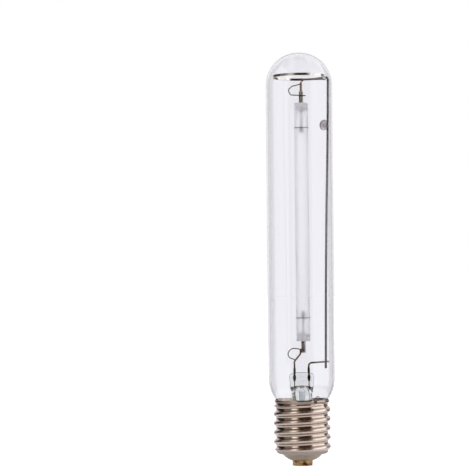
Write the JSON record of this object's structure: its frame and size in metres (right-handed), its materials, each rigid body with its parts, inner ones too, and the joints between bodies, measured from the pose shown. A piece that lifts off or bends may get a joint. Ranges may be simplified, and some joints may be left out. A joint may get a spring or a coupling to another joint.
{
  "type": "high pressure sodium lamp",
  "caption": "Clear tubular discharge lamp with a ceramic arc tube on a wire frame, a pinched stem and a large screw cap.",
  "frame": {"origin": "centre of the contact's bottom face, where the lamp stands", "axes": "+Z along the lamp's axis from the contact to the dome, +X towards the side rod, -Y towards the picture's camera"},
  "size_m": [0.046, 0.046, 0.285],
  "materials": {
    "bulb_glass": "gloss",
    "stem_glass": "gloss",
    "alumina": "satin",
    "plug_ceramic": "satin",
    "frit": "satin",
    "niobium": "satin",
    "tungsten": "satin",
    "frame_wire": "satin",
    "lead_wire": "satin",
    "ring_steel": "polished",
    "getter_metal": "satin",
    "amalgam": "gloss",
    "cap_nickel": "gloss",
    "vitrite": "gloss",
    "contact_brass": "satin",
    "solder": "satin",
    "copper_wire": "satin",
    "cement": "matte",
    "sleeve_fibre": "matte"
  },
  "bodies": {
    "root": {"outer_envelope": "bulb_glass", "stem_flare": "stem_glass", "exhaust_tube": "stem_glass", "arc_tube": "alumina", "upper_end_plug": "plug_ceramic", "lower_end_plug": "plug_ceramic", "upper_frit_seal": "frit", "lower_frit_seal": "frit", "upper_niobium_tube": "niobium", "lower_niobium_tube": "niobium", "upper_electrode_rod": "tungsten", "lower_electrode_rod": "tungsten", "upper_electrode_coil": "tungsten", "lower_electrode_coil": "tungsten", "amalgam_bead": "amalgam", "starting_aid_wire": "tungsten", "frame_rod": "frame_wire", "top_cross_wire": "frame_wire", "upper_flex_wire": "frame_wire", "lower_flex_wire": "frame_wire", "dome_ring": "ring_steel", "getter_disc": "getter_metal", "getter_strap": "getter_metal", "lower_support_lead": "lead_wire", "frame_lead": "lead_wire", "left_seal_wire": "tungsten", "right_seal_wire": "tungsten", "cap_shell": "cap_nickel", "cap_insulator": "vitrite", "centre_contact": "contact_brass", "contact_solder": "solder", "side_solder": "solder", "centre_lead_wire": "copper_wire", "side_lead_wire": "copper_wire", "lead_sleeve": "sleeve_fibre", "basing_cement": "cement"}
  },
  "joints": []
}
